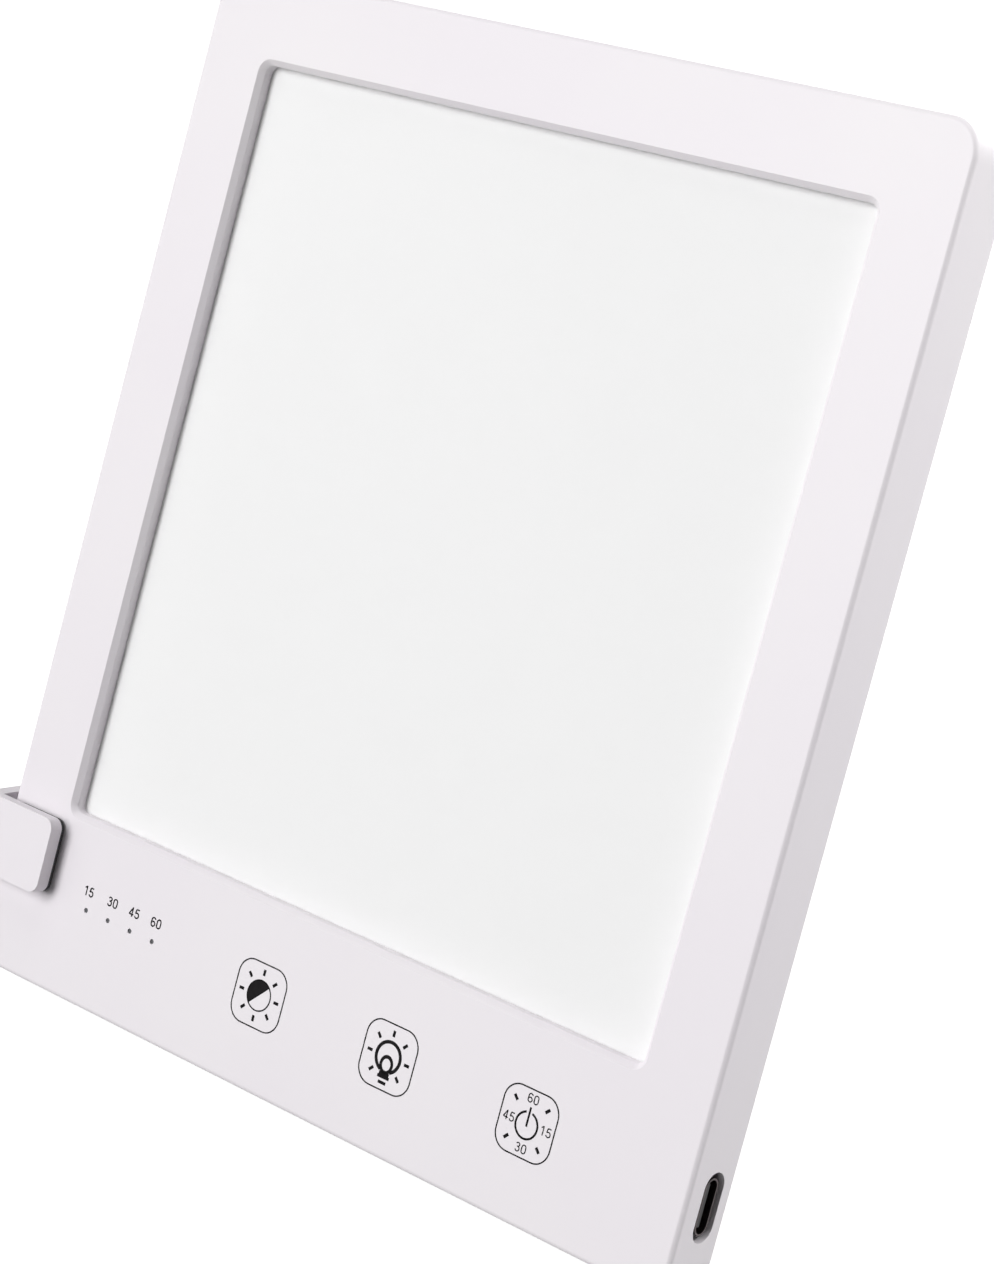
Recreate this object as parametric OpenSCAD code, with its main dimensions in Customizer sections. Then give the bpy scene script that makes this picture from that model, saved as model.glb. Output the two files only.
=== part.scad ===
// Light therapy lamp: a thin edge-lit panel that leans back on a slide-on stand.
// The panel is drawn lying on its back, X to the right, Y up its face and Z towards its
// front, and place() leans it. The origin is the centre of the footprint, on the table.

/* [Panel] */
// Width of the panel
panel_w = 150; // [140:1:165]
// Height of the panel along its face
panel_h = 175; // [165:1:190]
// Thickness of the panel from back to front
panel_t = 11.5; // [11:0.1:13]
// Angle that the panel leans back from upright, in degrees
lean = 23; // [15:1:30]
// Corner radius of the panel, seen from the front
corner_r = 5.5; // [4:0.5:8]
// Rounding of the edge between the front face and the sides
front_edge_r = 0.8; // [0.5:0.1:1.5]
// Rounding of the edge between the sides and the back
back_edge_r = 0.8; // [0.4:0.1:1]
// Thickness of the shell's front and side walls
wall = 2.0; // [1.6:0.1:2.4]

/* [Window] */
// Width of the opening in front of the diffuser
window_w = 122.4; // [110:0.1:124]
// Height of the opening in front of the diffuser
window_h = 129.8; // [120:0.1:132]
// Height of the opening's lower edge above the panel's lower edge
window_y = 30.7; // [29:0.1:34]
// Depth of the diffuser below the front face
recess = 2.6; // [2.2:0.1:3]
// Width of the sloped edge round the opening
window_chamfer = 0.9; // [0.4:0.1:1.2]
// Corner radius of the opening
window_r = 1.5; // [1:0.1:3]

/* [Light stack] */
// Thickness of the diffuser plate
diffuser_t = 1.5; // [1:0.1:2]
// Thickness of the light guide plate
guide_t = 3.0; // [2:0.1:3]
// Thickness of each film in front of and behind the light guide
film_t = 0.3; // [0.2:0.05:0.4]
// Thickness of the metal tray that carries the stack
tray_t = 0.8; // [0.5:0.1:1]
// How far the plates reach past the window on each side
stack_lap = 2.4; // [2:0.1:3]
// Number of light-emitting diodes on each strip
led_count = 24; // [12:1:30]

/* [Controls] */
// Side of each touch key's square
key_side = 10.8; // [9:0.1:12]
// Distance between the centres of neighbouring keys
key_pitch = 28.15; // [20:0.05:29]
// Centre of the middle key, right of the panel's centre line
key_x = 16.5; // [10:0.05:18]
// Height of the keys' centres above the panel's lower edge
key_y = 15.5; // [14:0.05:17]
// Diameter of each indicator hole
dot_d = 0.86; // [0.6:0.02:1.2]
// Distance between neighbouring indicator holes
dot_pitch = 5.32; // [4:0.02:6]
// Centre of the first indicator hole, from the panel's centre line
dot_x = -52.6; // [-56:0.1:-50]
// Height of the indicator holes above the panel's lower edge
dot_y = 15.9; // [14:0.1:18]

/* [Power inlet] */
// Height of the inlet's centre above the panel's lower edge
port_y = 13.8; // [12:0.1:15]
// Depth of the inlet's centre behind the front face
port_depth = 6.3; // [6.2:0.1:6.4]
// Long side of the slot in the side wall
port_l = 11.0; // [10:0.1:12]
// Short side of the slot in the side wall
port_w = 5.0; // [4.5:0.1:5.4]

/* [Stand] */
// Height of the hook's middle above the panel's lower edge
hook_y = 22.15; // [22:0.05:24]
// Height of the hook's lip
lip_h = 13.1; // [10:0.1:14]
// Thickness of the lip in front of the face
lip_t = 2.5; // [2:0.1:3]
// Gap between the lip and the front face
lip_gap = 1.0; // [0.9:0.1:1.5]
// How far the lip reaches over the face from the panel's left edge
lip_reach = 13.4; // [8:0.1:16]
// Gap between the hook's side wall and the panel's left edge
hook_gap = 2.0; // [1:0.1:3]
// Length of the prop leg from its hinge to its end
leg_l = 65; // [60:1:75]
// Width of the prop leg at the hinge
leg_w = 78; // [74:1:84]
// Width of the prop leg at its foot
leg_foot_w = 62; // [54:1:70]

/* [Hidden] */
$fn = 64;
eps = 0.01;
table_w = 400;

// Layers of the panel, as heights above its back
front_in = panel_t - wall;
cover_t = 2.0;
diffuser_top = panel_t - recess;
film_top = diffuser_top - diffuser_t;
guide_top = film_top - film_t;
reflector_top = guide_top - guide_t;
tray_top = reflector_top - film_t;
foam_top = tray_top - tray_t;
window_cy = window_y + window_h / 2;
stack_w = window_w + 2 * stack_lap;
stack_h = window_h + 2 * stack_lap;

// Light strips, outwards from the edge of the light guide
led_t = 0.8;
led_x = stack_w / 2 + 0.1;
strip_t = 1.0;
strip_x = led_x + led_t;
strip_w = 3.0;
strip_l = 124;
lip_x = strip_x + strip_t;
led_z = guide_top - guide_t / 2;
led_pitch = (strip_l - 6) / (led_count - 1);

// Shell fittings
cover_lap = 1.2;
fit = 0.1;
rib_xs = [-48, 0, 48];
rib_size = [16, 1.2];
rib_gap = 0.1;
boss_r = 2.3;
case_pilot_r = 0.85;
case_pilot_d = 6.2;
boss_x = panel_w / 2 - 5.5;
boss_ys = [5.2, 88, panel_h - 5.5];
counterbore_r = 2.1;
counterbore_d = 1.1;
case_clear_r = 1.1;

// Main board and the power inlet that hangs under it
usb_l = 7.4;
usb_w = 8.94;
usb_h = 3.26;
usb_skin = 0.3;
port_skin = 1.2;
mouth_drop = 0.4;
port_pocket = [port_l + 1.2, port_w + 0.8];
usb_mouth = panel_w / 2 - mouth_drop;
port_z = panel_t - port_depth;
board_t = 1.0;
board_z = port_z + usb_h / 2 + 0.02;
board_top = board_z + board_t;
board_size = [128, 22.2];
board_cy = 15.3;
tab_size = [9.5, 17.6];
tab_centre = [66.75, 17.3];
post_xys = [[-58, 21], [2, 7], [58, 21]];
post_r = 1.9;
board_pilot_r = 0.65;
board_pilot_d = 2.6;
board_hole_r = 0.95;

// Centres and sizes of what is soldered to the back of the board
controller_xy = [-14, 17];
controller_size = [7, 7, 0.9];
inductor_xy = [30, 17];
inductor_w = 6.6;
inductor_h = 3.0;
chip_xs = [-34, 12, 40];
chip_y = 19;
chip_size = [2.9, 1.6, 1.1];
large_cap_xs = [18, 22, 36];
large_cap_y = 12;
large_cap_size = [2, 3.2, 1.25];
small_cap_xs = [-24, -20];
small_cap_y = 10;
small_cap_size = [1.2, 2, 0.9];
socket_x = 50;
socket_y = 24;
socket_size = [6, 4, 3.2];
lead_r = 0.45;
lead_bend_r = 3;
lead_drops = [1.0, 2.3];

// Stand, with its slide and its hinge
flange_t = 1.5;
flange_h = 20;
flange_gap = 0.1;
flange_back = -flange_gap - flange_t;
bracket_back = -4.5;
bracket_end = 46;
hook_t = 2.5;
hook_in = -panel_w / 2 - hook_gap;
hook_out = hook_in - hook_t;
hook_root_h = 18;
hook_root_end = -56;
spine_h = 16;
lip_front = panel_t + lip_gap + lip_t;
rail_gap = 0.3;
rail_lap = 1.2;
rail_t = 1.5;
rail_in = flange_back - rail_gap;
rail_back = rail_in - rail_t;
rail_start = -52;
rail_foot = 2.5;
hinge_x = 27;
hinge_z = -5.1;
knuckle_r = 3.2;
pin_r = 1.5;
pin_clear = 0.05;
notch_w = 8.6;
notch_gap = 0.4;
ear_w = 3.0;
pin_l = notch_w + 2 * ear_w;
knuckle_w = 7.4;
washer_t = 0.5;
leg_t = 4.0;
leg_in = -3.9;
leg_out = leg_in - leg_t;
leg_start = 8.5;
leg_corner_r = 6;
leg_skin = 1.8;
leg_rim = 2.5;
leg_rib_t = 1.2;
leg_rib_ys = [52, 60];
hole_ws = [46, 38];
hole_ys = [22, 47];
hole_r = 5;
foot_u = 58.5;
foot_len = 6;
foot_w = 46;
foot_t = 2.0;

// Feet under the panel, and where the leaning panel stands
base_foot_t = 0.5;
base_foot_z = [0.9, 2.7];
base_foot_x = 48;
base_foot_w = 18;
stand_z = base_foot_t * cos(lean) - base_foot_z[0] * sin(lean);
hinge_row_z = hook_y * cos(lean) + hinge_z * sin(lean) + stand_z;
leg_drop = hinge_z - leg_out;
leg_angle = asin((hinge_row_z - foot_t) / norm([foot_u, leg_drop])) - atan2(leg_drop, foot_u);
fold = 90 - lean + leg_angle;
front_reach = (panel_t - front_edge_r) * cos(lean) - front_edge_r * sin(lean) + front_edge_r;
back_reach = hook_y * sin(lean) - hinge_z * cos(lean) + leg_l * cos(leg_angle)
             + (leg_in - hinge_z) * sin(leg_angle);
shift = [-(panel_w / 2 + hook_out) / 2, (front_reach - back_reach) / 2, stand_z];

white = "#efecf0";
dark_rubber = "#2c2b2d";
clear_silicone = "#e2e3e5";
circuit_green = "#1f5c3a";
steel = "#b9bcc0";

// From the panel on its back to the panel that leans on the table
module place() {
  translate(shift) rotate([90 - lean, 0, 0]) children();
}

// The leg is drawn folded flat behind the panel, and opened about its hinge
module place_leg() {
  place() translate([0, hook_y, hinge_z]) rotate([-fold, 0, 0])
    translate([0, -hook_y, -hinge_z]) children();
}

// Extrude between two heights
module between(z0, z1) {
  translate([0, 0, z0]) linear_extrude(z1 - z0) children();
}

// Extrude an outline drawn in Y and Z from x0 to x1
module along_x(x0, x1) {
  translate([x0, 0, 0]) rotate([90, 0, 90]) linear_extrude(x1 - x0) children();
}

// Outline round equal circles on the given centres, listed anticlockwise
module round_outline(centres, r) {
  n = len(centres);
  step = [for (i = [0:n - 1]) centres[(i + 1) % n] - centres[i]];
  unit = [for (s = step) s / norm(s)];
  polygon([for (i = [0:n - 1], end = [0, 1]) centres[(i + end) % n] + r * [unit[i][1], -unit[i][0]]]);
  for (c = centres) translate(c) circle(r);
}

module round_rect(w, h, r) {
  x = w / 2 - r;
  y = h / 2 - r;
  round_outline([[-x, -y], [x, -y], [x, y], [-x, y]], r);
}

// Slot with round ends, its long side along Y
module stadium(l, w) {
  round_outline([[0, -(l - w) / 2], [0, (l - w) / 2]], w / 2);
}

// Slab with round corners whose edge follows a section drawn outwards from the corner's axis
module edged_slab(w, h, r, t) {
  for (s = [0:3])
    translate([(s == 0 || s == 3 ? 1 : -1) * (w / 2 - r), (s < 2 ? 1 : -1) * (h / 2 - r), 0])
      rotate(90 * s) rotate_extrude(angle = 90) children();
  for (s = [0:3])
    rotate(90 * s) translate([(s % 2 == 0 ? w : h) / 2 - r, (s % 2 == 0 ? h : w) / 2 - r, 0])
      rotate([90, 0, 0]) linear_extrude((s % 2 == 0 ? h : w) - 2 * r) children();
  between(0, t) square([w - 2 * r, h - 2 * r], center = true);
}

// Section of a slab's edge with its upper and lower corners rounded
module rounded_edge(r, t, top_r, bottom_r) {
  difference() {
    square([r, t]);
    translate([r - top_r, t - top_r]) difference() {
      square(top_r + 1);
      circle(top_r);
    }
    translate([r - bottom_r, -1]) difference() {
      square([bottom_r + 1, bottom_r + 1]);
      translate([0, bottom_r + 1]) circle(bottom_r);
    }
  }
}

// Sloped edge round the window
module window_edge() {
  r = window_r + window_chamfer;
  translate([0, window_cy, panel_t - window_chamfer])
    edged_slab(window_w + 2 * window_chamfer, window_h + 2 * window_chamfer, r, window_chamfer + 1) {
      polygon([[0, 0], [window_r, 0], [r, window_chamfer], [r, window_chamfer + 1],
               [0, window_chamfer + 1]]);
    }
}

module at_bosses() {
  for (x = [-boss_x, boss_x], y = boss_ys) translate([x, y, 0]) children();
}

module at_posts() {
  for (p = post_xys) translate([p[0], p[1], 0]) children();
}

module at_port() {
  translate([0, port_y, port_z]) children();
}

module at_dots() {
  for (i = [0:3]) translate([dot_x + i * dot_pitch, dot_y, 0]) children();
}

module at_keys() {
  for (i = [-1:1]) translate([key_x + i * key_pitch, key_y, 0]) children();
}

// Ribs that centre the light stack above and below
module stack_ribs() {
  for (side = [-1, 1], x = rib_xs)
    translate([x, window_cy + side * (stack_h / 2 + rib_gap + rib_size[1] / 2), 0])
      between(foam_top, front_in + eps) square(rib_size, center = true);
}

module front_shell() {
  place() color(white) difference() {
    union() {
      difference() {
        translate([0, panel_h / 2, 0]) edged_slab(panel_w, panel_h, corner_r, panel_t)
          rounded_edge(corner_r, panel_t, front_edge_r, back_edge_r);
        translate([0, panel_h / 2, 0]) between(-1, front_in)
          round_rect(panel_w - 2 * wall, panel_h - 2 * wall, corner_r - wall);
      }
      translate([0, window_cy, 0]) between(diffuser_top, front_in + eps)
        round_rect(window_w + 4, window_h + 4, window_r + 2);
      stack_ribs();
      at_bosses() translate([0, 0, cover_t]) cylinder(r = boss_r, h = front_in - cover_t + eps);
      at_posts() translate([0, 0, board_top]) cylinder(r = post_r, h = front_in - board_top + eps);
    }
    translate([0, panel_h / 2, 0]) between(-1, cover_t)
      round_rect(panel_w - 2 * cover_lap, panel_h - 2 * cover_lap, corner_r - cover_lap);
    translate([0, window_cy, 0]) between(0, panel_t + 1) round_rect(window_w, window_h, window_r);
    window_edge();
    at_port() along_x(panel_w / 2 - wall - 1, panel_w / 2 + 1) rotate(90) stadium(port_l, port_w);
    at_port() along_x(panel_w / 2 - wall - 1, panel_w / 2 - port_skin) rotate(90)
      stadium(port_pocket[0], port_pocket[1]);
    at_dots() cylinder(d = dot_d, h = panel_t + 1);
    at_bosses() translate([0, 0, cover_t - 1]) cylinder(r = case_pilot_r, h = case_pilot_d + 1);
    at_posts() translate([0, 0, board_top - 1]) cylinder(r = board_pilot_r, h = board_pilot_d + 1);
  }
}

// One side of the slide on the back cover, its lip reaching over the bracket's flange
module rail_section() {
  inner = flange_h / 2 + rail_gap;
  lip = inner - rail_gap - rail_lap;
  outer = inner + rail_foot;
  polygon([[inner, eps], [inner, rail_in], [lip, rail_in], [lip, rail_back], [outer, rail_back],
           [outer, eps]]);
}

module slide_rails() {
  stop_x = bracket_end + rail_gap;
  stop_h = flange_h + 2 * (rail_gap + rail_foot);
  translate([0, hook_y, 0]) {
    for (side = [0, 1])
      mirror([0, side, 0]) along_x(rail_start, stop_x + rail_foot) rail_section();
    translate([stop_x, -stop_h / 2, rail_back]) cube([rail_foot, stop_h, eps - rail_back]);
  }
}

module back_cover() {
  cover_w = panel_w - 2 * (cover_lap + fit);
  cover_h = panel_h - 2 * (cover_lap + fit);
  place() color(white) difference() {
    union() {
      translate([0, panel_h / 2, 0]) between(0, cover_t)
        round_rect(cover_w, cover_h, corner_r - cover_lap - fit);
      slide_rails();
    }
    at_bosses() {
      translate([0, 0, -1]) cylinder(r = case_clear_r, h = cover_t + 2);
      translate([0, 0, -1]) cylinder(r = counterbore_r, h = counterbore_d + 1);
    }
  }
}

// Plate of the light stack that covers the window and its lap
module stack_plate(z0, z1) {
  place() translate([0, window_cy, 0]) between(z0, z1) round_rect(stack_w, stack_h, 2);
}

module diffuser() {
  color("#f6f6f7") stack_plate(film_top, diffuser_top);
}

module prism_film() {
  color("#dfe6ea", 0.6) stack_plate(guide_top, film_top);
}

module light_guide() {
  color("#d4e8f0", 0.5) stack_plate(reflector_top, guide_top);
}

module reflector_film() {
  color("#fbfbfb") stack_plate(tray_top, reflector_top);
}

// Folded metal tray: its floor backs the films and its two sides cool the strips
module light_tray() {
  tray_w = 2 * (lip_x + tray_t);
  place() color("#c3c6ca") translate([0, window_cy, 0]) {
    between(foam_top, tray_top) square([tray_w, stack_h], center = true);
    for (side = [-1, 1]) translate([side * (lip_x + tray_t / 2), 0, 0])
      between(tray_top - eps, guide_top + 0.3) square([tray_t, stack_h], center = true);
  }
}

module led_strip(side) {
  place() color("#f2f2ee") translate([side * (strip_x + strip_t / 2), window_cy, led_z])
    cube([strip_t, strip_l, strip_w], center = true);
}

// Row of side-lit packages, each with its yellow phosphor window towards the guide
module led_row(side) {
  place() color("#f3d979") for (i = [0:led_count - 1])
    translate([side * (led_x + led_t / 2), window_cy - strip_l / 2 + 3 + i * led_pitch, led_z])
      cube([led_t, 3.0, 1.4], center = true);
}

module led_strip_left() {
  led_strip(-1);
}

module led_strip_right() {
  led_strip(1);
}

module leds_left() {
  led_row(-1);
}

module leds_right() {
  led_row(1);
}

// Foam strips that press the stack forward from the back cover
module foam_strips() {
  foam_w = 8;
  across = [110, foam_w];
  upright = [foam_w, 90];
  place() color("#3a3a3d") translate([0, window_cy, 0]) between(cover_t, foam_top)
    for (side = [-1, 1]) {
      translate([0, side * across[0] / 2]) square(across, center = true);
      translate([side * (across[0] / 2 - foam_w / 2 - 1), 0]) square(upright, center = true);
    }
}

module main_board() {
  place() color(circuit_green) difference() {
    between(board_z, board_top) {
      translate([0, board_cy]) round_rect(board_size[0], board_size[1], 1);
      translate(tab_centre) square(tab_size, center = true);
    }
    at_posts() translate([0, 0, board_z - 1]) cylinder(r = board_hole_r, h = board_t + 2);
  }
}

// Metal shell of the power inlet, soldered under the board's right-hand edge
module usb_shell() {
  inner_w = usb_w - 2 * usb_skin;
  inner_h = usb_h - 2 * usb_skin;
  place() color(steel) at_port() difference() {
    along_x(usb_mouth - usb_l, usb_mouth) rotate(90) stadium(usb_w, usb_h);
    along_x(usb_mouth - usb_l + usb_skin, usb_mouth + 1) rotate(90) stadium(inner_w, inner_h);
  }
}

// Insulating block at the back of the inlet, with the tongue that carries its contacts
module usb_insert() {
  skin = usb_skin + 0.02;
  back = usb_mouth - usb_l + skin;
  base_l = 1.6;
  tongue = [4.9, 6.7, 0.7];
  place() color("#202022") at_port() {
    along_x(back, back + base_l) rotate(90) stadium(usb_w - 2 * skin, usb_h - 2 * skin);
    translate([back + base_l - eps, -tongue[1] / 2, -tongue[2] / 2]) cube(tongue);
  }
}

// Block of a given size on the back of the board
module on_board(x, y, size) {
  place() translate([x, y, board_z - size[2] / 2]) cube(size, center = true);
}

module controller() {
  color("#232325") on_board(controller_xy[0], controller_xy[1], controller_size);
}

module inductor() {
  place() color("#4a4a4d") translate(inductor_xy) between(board_z - inductor_h, board_z)
    round_rect(inductor_w, inductor_w, 1.5);
}

module driver_chips() {
  color("#232325") for (x = chip_xs) on_board(x, chip_y, chip_size);
}

module capacitors() {
  color("#b79a6b") {
    for (x = large_cap_xs) on_board(x, large_cap_y, large_cap_size);
    for (x = small_cap_xs) on_board(x, small_cap_y, small_cap_size);
  }
}

module strip_sockets() {
  color("#ebe6d8") for (side = [-1, 1]) on_board(side * socket_x, socket_y, socket_size);
}

// Lead from a socket, round a quarter turn and up to the end of its strip
module strip_lead() {
  strip_mid = strip_x + strip_t / 2;
  socket_end = socket_x + socket_size[0] / 2;
  bend_x = strip_mid - lead_bend_r;
  bend_y = socket_y + lead_bend_r;
  strip_end = window_cy - strip_l / 2;
  translate([socket_end, socket_y, 0]) rotate([0, 90, 0]) cylinder(r = lead_r, h = bend_x - socket_end);
  translate([bend_x, bend_y, 0]) rotate(-90)
    rotate_extrude(angle = 90) translate([lead_bend_r, 0]) circle(lead_r);
  translate([strip_mid, bend_y, 0]) rotate([-90, 0, 0]) cylinder(r = lead_r, h = strip_end - bend_y);
}

module strip_leads() {
  place() color("#b8322c") for (side = [0, 1], drop = lead_drops)
    mirror([side, 0, 0]) translate([0, 0, board_z - drop]) strip_lead();
}

module indicator_leds() {
  place() color("#f4f0dc") at_dots() between(board_top, board_top + 0.7) square([0.8, 1.6], center = true);
}

// Clear bar with a pin for each indicator hole
module light_pipes() {
  place() color("#5a5d63") {
    translate([dot_x + 1.5 * dot_pitch, dot_y, 0]) between(board_top + 0.75, front_in)
      round_rect(3 * dot_pitch + 3.2, 3.2, 1);
    at_dots() translate([0, 0, front_in - eps]) cylinder(d = dot_d - 0.06, h = wall - 0.15);
  }
}

// Conductive pads that carry each key's field from the board to the front wall
module touch_pads() {
  pad_w = key_side - 0.8;
  place() color("#57585c") at_keys() between(board_top, front_in) round_rect(pad_w, pad_w, 2);
}

// Pan-head screw that points to +Z, with a cross in its head, its bearing face at the origin
module screw(head_r, head_h, shank_r, l) {
  difference() {
    translate([0, 0, -head_h]) cylinder(r = head_r, h = head_h);
    for (a = [0, 90]) rotate(a) translate([0, 0, -head_h]) cube([head_r * 1.2, 0.4, head_h], center = true);
  }
  translate([0, 0, -eps]) cylinder(r = shank_r, h = l);
}

module board_screws() {
  place() color(steel) at_posts() translate([0, 0, board_z]) screw(1.4, 0.9, board_pilot_r, 3.2);
}

module case_screws() {
  place() color(steel) at_bosses() translate([0, 0, counterbore_d]) screw(1.9, 1.0, case_pilot_r, 6);
}

// Keeps only what is above the table
module above_table() {
  intersection() {
    children();
    translate([-table_w / 2, -table_w / 2, 0]) cube(table_w);
  }
}

// Clear wedge feet under the panel, flat on the table at the panel's lean
module base_feet() {
  depth = base_foot_z[1] - base_foot_z[0];
  color(clear_silicone) above_table() place() for (side = [-1, 1])
    translate([side * base_foot_x - base_foot_w / 2, -4, base_foot_z[0]]) cube([base_foot_w, 4, depth]);
}

// The hook round the panel's left edge: a lip in front, and a side that widens to the root
module hook() {
  half = lip_h / 2;
  root = hook_root_h / 2;
  reach = lip_reach - panel_w / 2;
  lip_in = panel_t + lip_gap;
  outer_r = 2.2;
  translate([0, hook_y, 0]) intersection() {
    union() {
      between(lip_in, lip_front) {
        translate([(hook_out + reach - 3) / 2, 0]) square([reach - 3 - hook_out, lip_h], center = true);
        translate([reach - 5, 0]) round_rect(10, lip_h, 2);
      }
      along_x(hook_out, hook_in) polygon([[half, lip_front], [-half, lip_front], [-half, lip_in],
        [-root, bracket_back], [root, bracket_back], [half, lip_in]]);
      translate([hook_out, -root, bracket_back])
        cube([hook_root_end - hook_out, hook_root_h, -flange_gap - bracket_back]);
    }
    translate([0, root, 0]) rotate([90, 0, 0]) linear_extrude(2 * root)
      round_outline([[hook_out + outer_r, bracket_back + outer_r], [0, bracket_back + outer_r],
                     [0, lip_front - outer_r], [hook_out + outer_r, lip_front - outer_r]], outer_r);
  }
}

module ear(x) {
  along_x(x - ear_w / 2, x + ear_w / 2) {
    circle(knuckle_r);
    translate([-knuckle_r, 0]) square([2 * knuckle_r, flange_back - hinge_z]);
  }
}

// Both hinges, with +X outwards from the middle of the bracket
module at_hinges() {
  for (side = [0, 1]) mirror([side, 0, 0]) translate([hinge_x, hook_y, hinge_z]) children();
}

// Bores for the hinge pins, and the shallow groove outside each that lets its pin in
module pin_bores() {
  at_hinges() translate([-pin_l / 2 - eps, 0, 0])
    rotate([0, 90, 0]) cylinder(r = pin_r + pin_clear, h = 2 * pin_l);
}

module stand_bracket() {
  place() color(white) difference() {
    union() {
      hook();
      translate([0, hook_y, 0]) {
        translate([hook_root_end - 1, -flange_h / 2, flange_back])
          cube([bracket_end - hook_root_end + 1, flange_h, flange_t]);
        translate([hook_root_end - 1, -spine_h / 2, bracket_back])
          cube([bracket_end - 1 - hook_root_end, spine_h, flange_back + eps - bracket_back]);
      }
      at_hinges() for (side = [-1, 1]) ear(side * (notch_w + ear_w) / 2);
    }
    at_hinges() translate([-notch_w / 2, -knuckle_r - notch_gap, bracket_back - 10])
      cube([notch_w, knuckle_r + spine_h, 10 + flange_back - hinge_z - bracket_back]);
    pin_bores();
  }
}

// Grip pad under the hook's lip
module hook_pad() {
  start = 1.2;
  margin = 0.1;
  pad_l = lip_reach - start - margin;
  place() color(dark_rubber) translate([-panel_w / 2 + start + pad_l / 2, hook_y, 0])
    between(panel_t + 0.2, panel_t + lip_gap) round_rect(pad_l, lip_h - 2 * margin, 2 - margin);
}

module hinge_pins() {
  tip_h = 0.4;
  inset = 0.1;
  shank_l = pin_l - 2 * (tip_h + inset);
  place() color(steel) at_hinges() rotate([0, 90, 0]) {
    cylinder(r = pin_r, h = shank_l, center = true);
    for (end = [0, 1]) mirror([0, 0, end]) translate([0, 0, shank_l / 2 - eps])
      cylinder(r1 = pin_r, r2 = pin_r - tip_h, h = tip_h);
  }
}

module hinge_washers() {
  place() color("#d9b56a") at_hinges() for (side = [-1, 1])
    translate([side * (knuckle_w + washer_t + 0.1) / 2, 0, 0]) rotate([0, 90, 0]) difference() {
      cylinder(r = knuckle_r - 0.2, h = washer_t, center = true);
      cylinder(r = pin_r + pin_clear, h = 2, center = true);
    }
}

// Centres of the corner circles of a plate that narrows from w0 at y0 to w1 at y1
function taper(w0, w1, y0, y1, r) =
  [[-w0 / 2 + r, y0 + r], [w0 / 2 - r, y0 + r], [w1 / 2 - r, y1 - r], [-w1 / 2 + r, y1 - r]];

// Prop leg, folded: a tapered frame with a finger opening, hollow and ribbed on the panel's side
module prop_leg() {
  plate = taper(leg_w, leg_foot_w, leg_start, leg_l, leg_corner_r);
  hole = taper(hole_ws[0], hole_ws[1], hole_ys[0], hole_ys[1], hole_r);
  place_leg() color(white) difference() {
    union() {
      translate([0, hook_y, 0]) between(leg_out, leg_in) round_outline(plate, leg_corner_r);
      at_hinges() {
        rotate([0, 90, 0]) cylinder(r = knuckle_r, h = knuckle_w, center = true);
        translate([-knuckle_w / 2, 0, leg_out - hinge_z]) cube([knuckle_w, leg_start + 1, leg_t]);
      }
    }
    translate([0, hook_y, 0]) {
      between(leg_out - 1, leg_in + 1) round_outline(hole, hole_r);
      between(leg_out + leg_skin, leg_in + 1) difference() {
        round_outline(plate, leg_corner_r - leg_rim);
        round_outline(hole, hole_r + leg_rim);
        for (x = [-hinge_x, 0, hinge_x]) translate([x, leg_l / 2]) square([leg_rib_t, leg_l], center = true);
        for (y = leg_rib_ys) translate([0, y]) square([leg_w, leg_rib_t], center = true);
      }
    }
    pin_bores();
  }
}

// Wedge pad under the leg's end, flat on the table when the leg is open
module leg_foot() {
  color(dark_rubber) above_table() place_leg()
    translate([-foot_w / 2, hook_y + foot_u - foot_len / 2, leg_out - 5]) cube([foot_w, foot_len, 5]);
}

front_shell();
back_cover();
diffuser();
prism_film();
light_guide();
reflector_film();
light_tray();
led_strip_left();
led_strip_right();
leds_left();
leds_right();
foam_strips();
main_board();
usb_shell();
usb_insert();
controller();
inductor();
driver_chips();
capacitors();
strip_sockets();
strip_leads();
indicator_leds();
light_pipes();
touch_pads();
board_screws();
case_screws();
base_feet();
stand_bracket();
hook_pad();
hinge_pins();
hinge_washers();
prop_leg();
leg_foot();
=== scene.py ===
import math

import bmesh
import bpy
from mathutils import Matrix, Vector


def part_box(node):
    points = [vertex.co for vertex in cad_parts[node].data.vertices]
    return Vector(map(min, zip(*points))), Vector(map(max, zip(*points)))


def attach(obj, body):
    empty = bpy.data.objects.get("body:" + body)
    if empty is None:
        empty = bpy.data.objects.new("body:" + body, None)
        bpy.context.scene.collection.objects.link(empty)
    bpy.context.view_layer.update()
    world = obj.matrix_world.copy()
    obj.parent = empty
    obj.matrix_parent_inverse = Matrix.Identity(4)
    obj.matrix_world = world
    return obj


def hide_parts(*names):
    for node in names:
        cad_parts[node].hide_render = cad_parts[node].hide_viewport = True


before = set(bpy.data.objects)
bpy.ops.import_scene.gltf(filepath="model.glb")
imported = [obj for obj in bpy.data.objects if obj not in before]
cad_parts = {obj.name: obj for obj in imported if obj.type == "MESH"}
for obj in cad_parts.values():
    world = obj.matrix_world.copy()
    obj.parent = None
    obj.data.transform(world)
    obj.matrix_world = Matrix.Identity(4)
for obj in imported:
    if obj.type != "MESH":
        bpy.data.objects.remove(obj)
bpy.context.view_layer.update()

# Light therapy lamp: the finishes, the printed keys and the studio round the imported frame.
# Sizes are in millimetres on the panel lying on its back (X right, Y up the face, Z out of
# the face, zero at the middle of its lower back edge), and panelPlace leans them.

mm = 0.001

panel = {
    "lean": 23.0,          # degrees back from upright
    "front": 11.5,         # height of the front face above the back
    "windowMiddle": 95.6,  # up the face
    "diffuserMiddle": 8.15,  # between the diffuser's two faces
}


def leanFrame():
    low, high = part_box("diffuser")
    turn = Matrix.Rotation(math.radians(90 - panel["lean"]), 4, "X")
    middle = turn @ (Vector((0, panel["windowMiddle"], panel["diffuserMiddle"])) * mm)
    return Matrix.Translation((low + high) / 2 - middle) @ turn


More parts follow.
